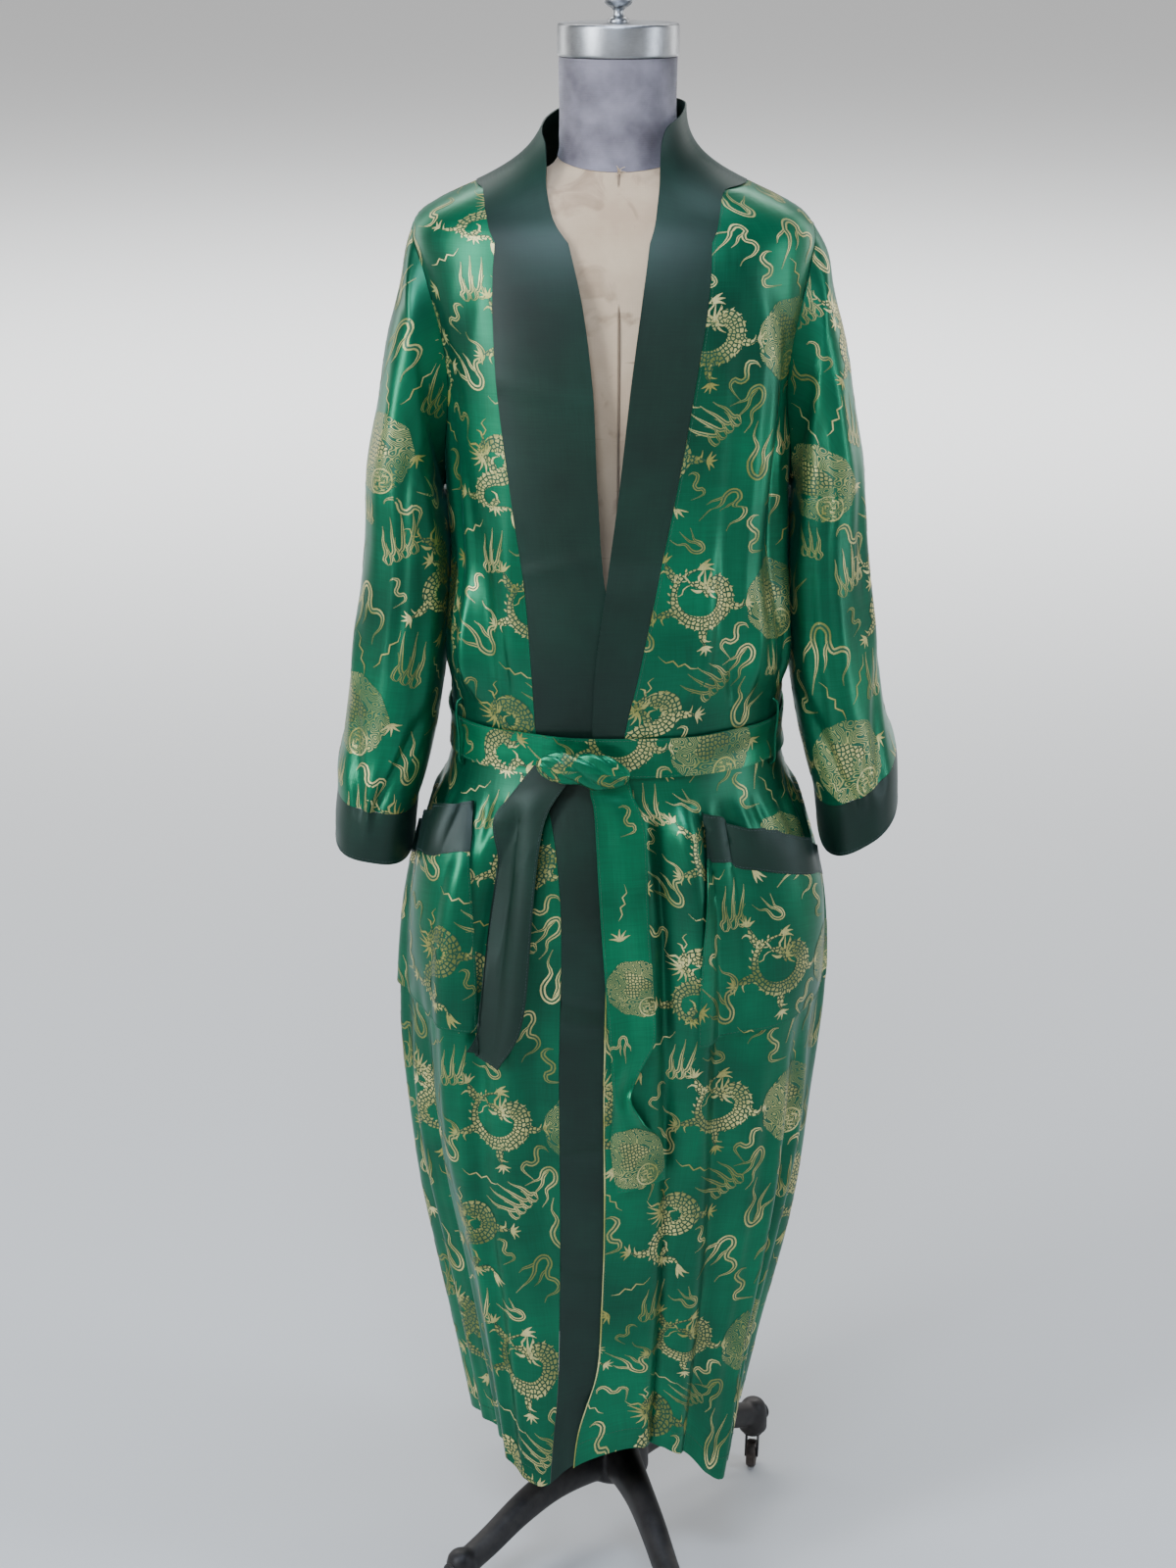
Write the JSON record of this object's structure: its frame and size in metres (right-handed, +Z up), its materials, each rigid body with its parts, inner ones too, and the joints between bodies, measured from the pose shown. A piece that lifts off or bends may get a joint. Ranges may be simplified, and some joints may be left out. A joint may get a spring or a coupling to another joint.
{
  "type": "silk wrap robe on a dress form with a castered cast-iron stand",
  "caption": "Wrap robe with dropped sleeves, a plain band collar, patch pockets and a tie belt, shown on a limbless dress form with a castered iron stand.",
  "frame": {"origin": "on the floor, under the middle of the part's box", "axes": "+Z up, -Y the robe's front, +X the wearer's left"},
  "size_m": [0.5746, 0.4762, 1.673],
  "materials": {
    "green_gold_brocade": "silk satin with woven gold thread motifs",
    "dark_green_satin": "plain dark silk satin",
    "canvas": "matte woven cotton canvas, lightly stained",
    "neck_cover": "matte dark knitted cover",
    "steel": "brushed, lightly worn",
    "iron": "dark painted casting, worn",
    "caster_iron": "bare worn iron"
  },
  "bodies": {
    "root": {"back": "green_gold_brocade", "back_skirt": "green_gold_brocade", "front_right": "green_gold_brocade", "front_right_skirt": "green_gold_brocade", "front_left": "green_gold_brocade", "front_left_skirt": "green_gold_brocade", "collar_right": "dark_green_satin", "collar_left": "dark_green_satin", "collar_left_lower": "dark_green_satin", "sleeve_right": "green_gold_brocade", "sleeve_left": "green_gold_brocade", "cuff_right": "dark_green_satin", "cuff_left": "dark_green_satin", "pocket_right": "green_gold_brocade", "pocket_left": "green_gold_brocade", "pocket_band_right": "dark_green_satin", "pocket_band_left": "dark_green_satin", "belt_waist": "green_gold_brocade", "belt_knot": "green_gold_brocade", "belt_tail_right": "dark_green_satin", "belt_tail_left": "green_gold_brocade", "belt_loop_right": "green_gold_brocade", "belt_loop_left": "green_gold_brocade", "form_torso": "canvas", "form_neck": "neck_cover", "neck_cap": "steel", "finial": "steel", "stand_post": "iron", "stand_base": "iron"},
    "caster_1": {"caster_fork_1": "iron"},
    "wheel_1": {"caster_wheel_1": "caster_iron"},
    "caster_2": {"caster_fork_2": "iron"},
    "wheel_2": {"caster_wheel_2": "caster_iron"},
    "caster_3": {"caster_fork_3": "iron"},
    "wheel_3": {"caster_wheel_3": "caster_iron"},
    "caster_4": {"caster_fork_4": "iron"},
    "wheel_4": {"caster_wheel_4": "caster_iron"}
  },
  "joints": [
    {"name": "caster_1_swivel", "type": "hinge", "parent": "root", "child": "caster_1", "pos_m": [0.16263, 0.16263, 0.0407], "axis": [0, 0, 1], "continuous": true},
    {"name": "wheel_1_spin", "type": "hinge", "parent": "caster_1", "child": "wheel_1", "pos_m": [0.16125, 0.15476, 0.01569], "axis": [-0.9848, 0.1736, 0], "continuous": true},
    {"name": "caster_2_swivel", "type": "hinge", "parent": "root", "child": "caster_2", "pos_m": [-0.0634, 0.22109, 0.0407], "axis": [0, 0, 1], "continuous": true},
    {"name": "wheel_2_spin", "type": "hinge", "parent": "caster_2", "child": "wheel_2", "pos_m": [-0.05718, 0.21606, 0.01569], "axis": [-0.6293, -0.7771, 0], "continuous": true},
    {"name": "caster_3_swivel", "type": "hinge", "parent": "root", "child": "caster_3", "pos_m": [-0.16263, -0.16263, 0.0407], "axis": [0, 0, 1], "continuous": true},
    {"name": "wheel_3_spin", "type": "hinge", "parent": "caster_3", "child": "wheel_3", "pos_m": [-0.16125, -0.15476, 0.01569], "axis": [0.9848, -0.1736, 0], "continuous": true},
    {"name": "caster_4_swivel", "type": "hinge", "parent": "root", "child": "caster_4", "pos_m": [0.0634, -0.22109, 0.0407], "axis": [0, 0, 1], "continuous": true},
    {"name": "wheel_4_spin", "type": "hinge", "parent": "caster_4", "child": "wheel_4", "pos_m": [0.05718, -0.21606, 0.01569], "axis": [0.6293, 0.7771, 0], "continuous": true}
  ]
}
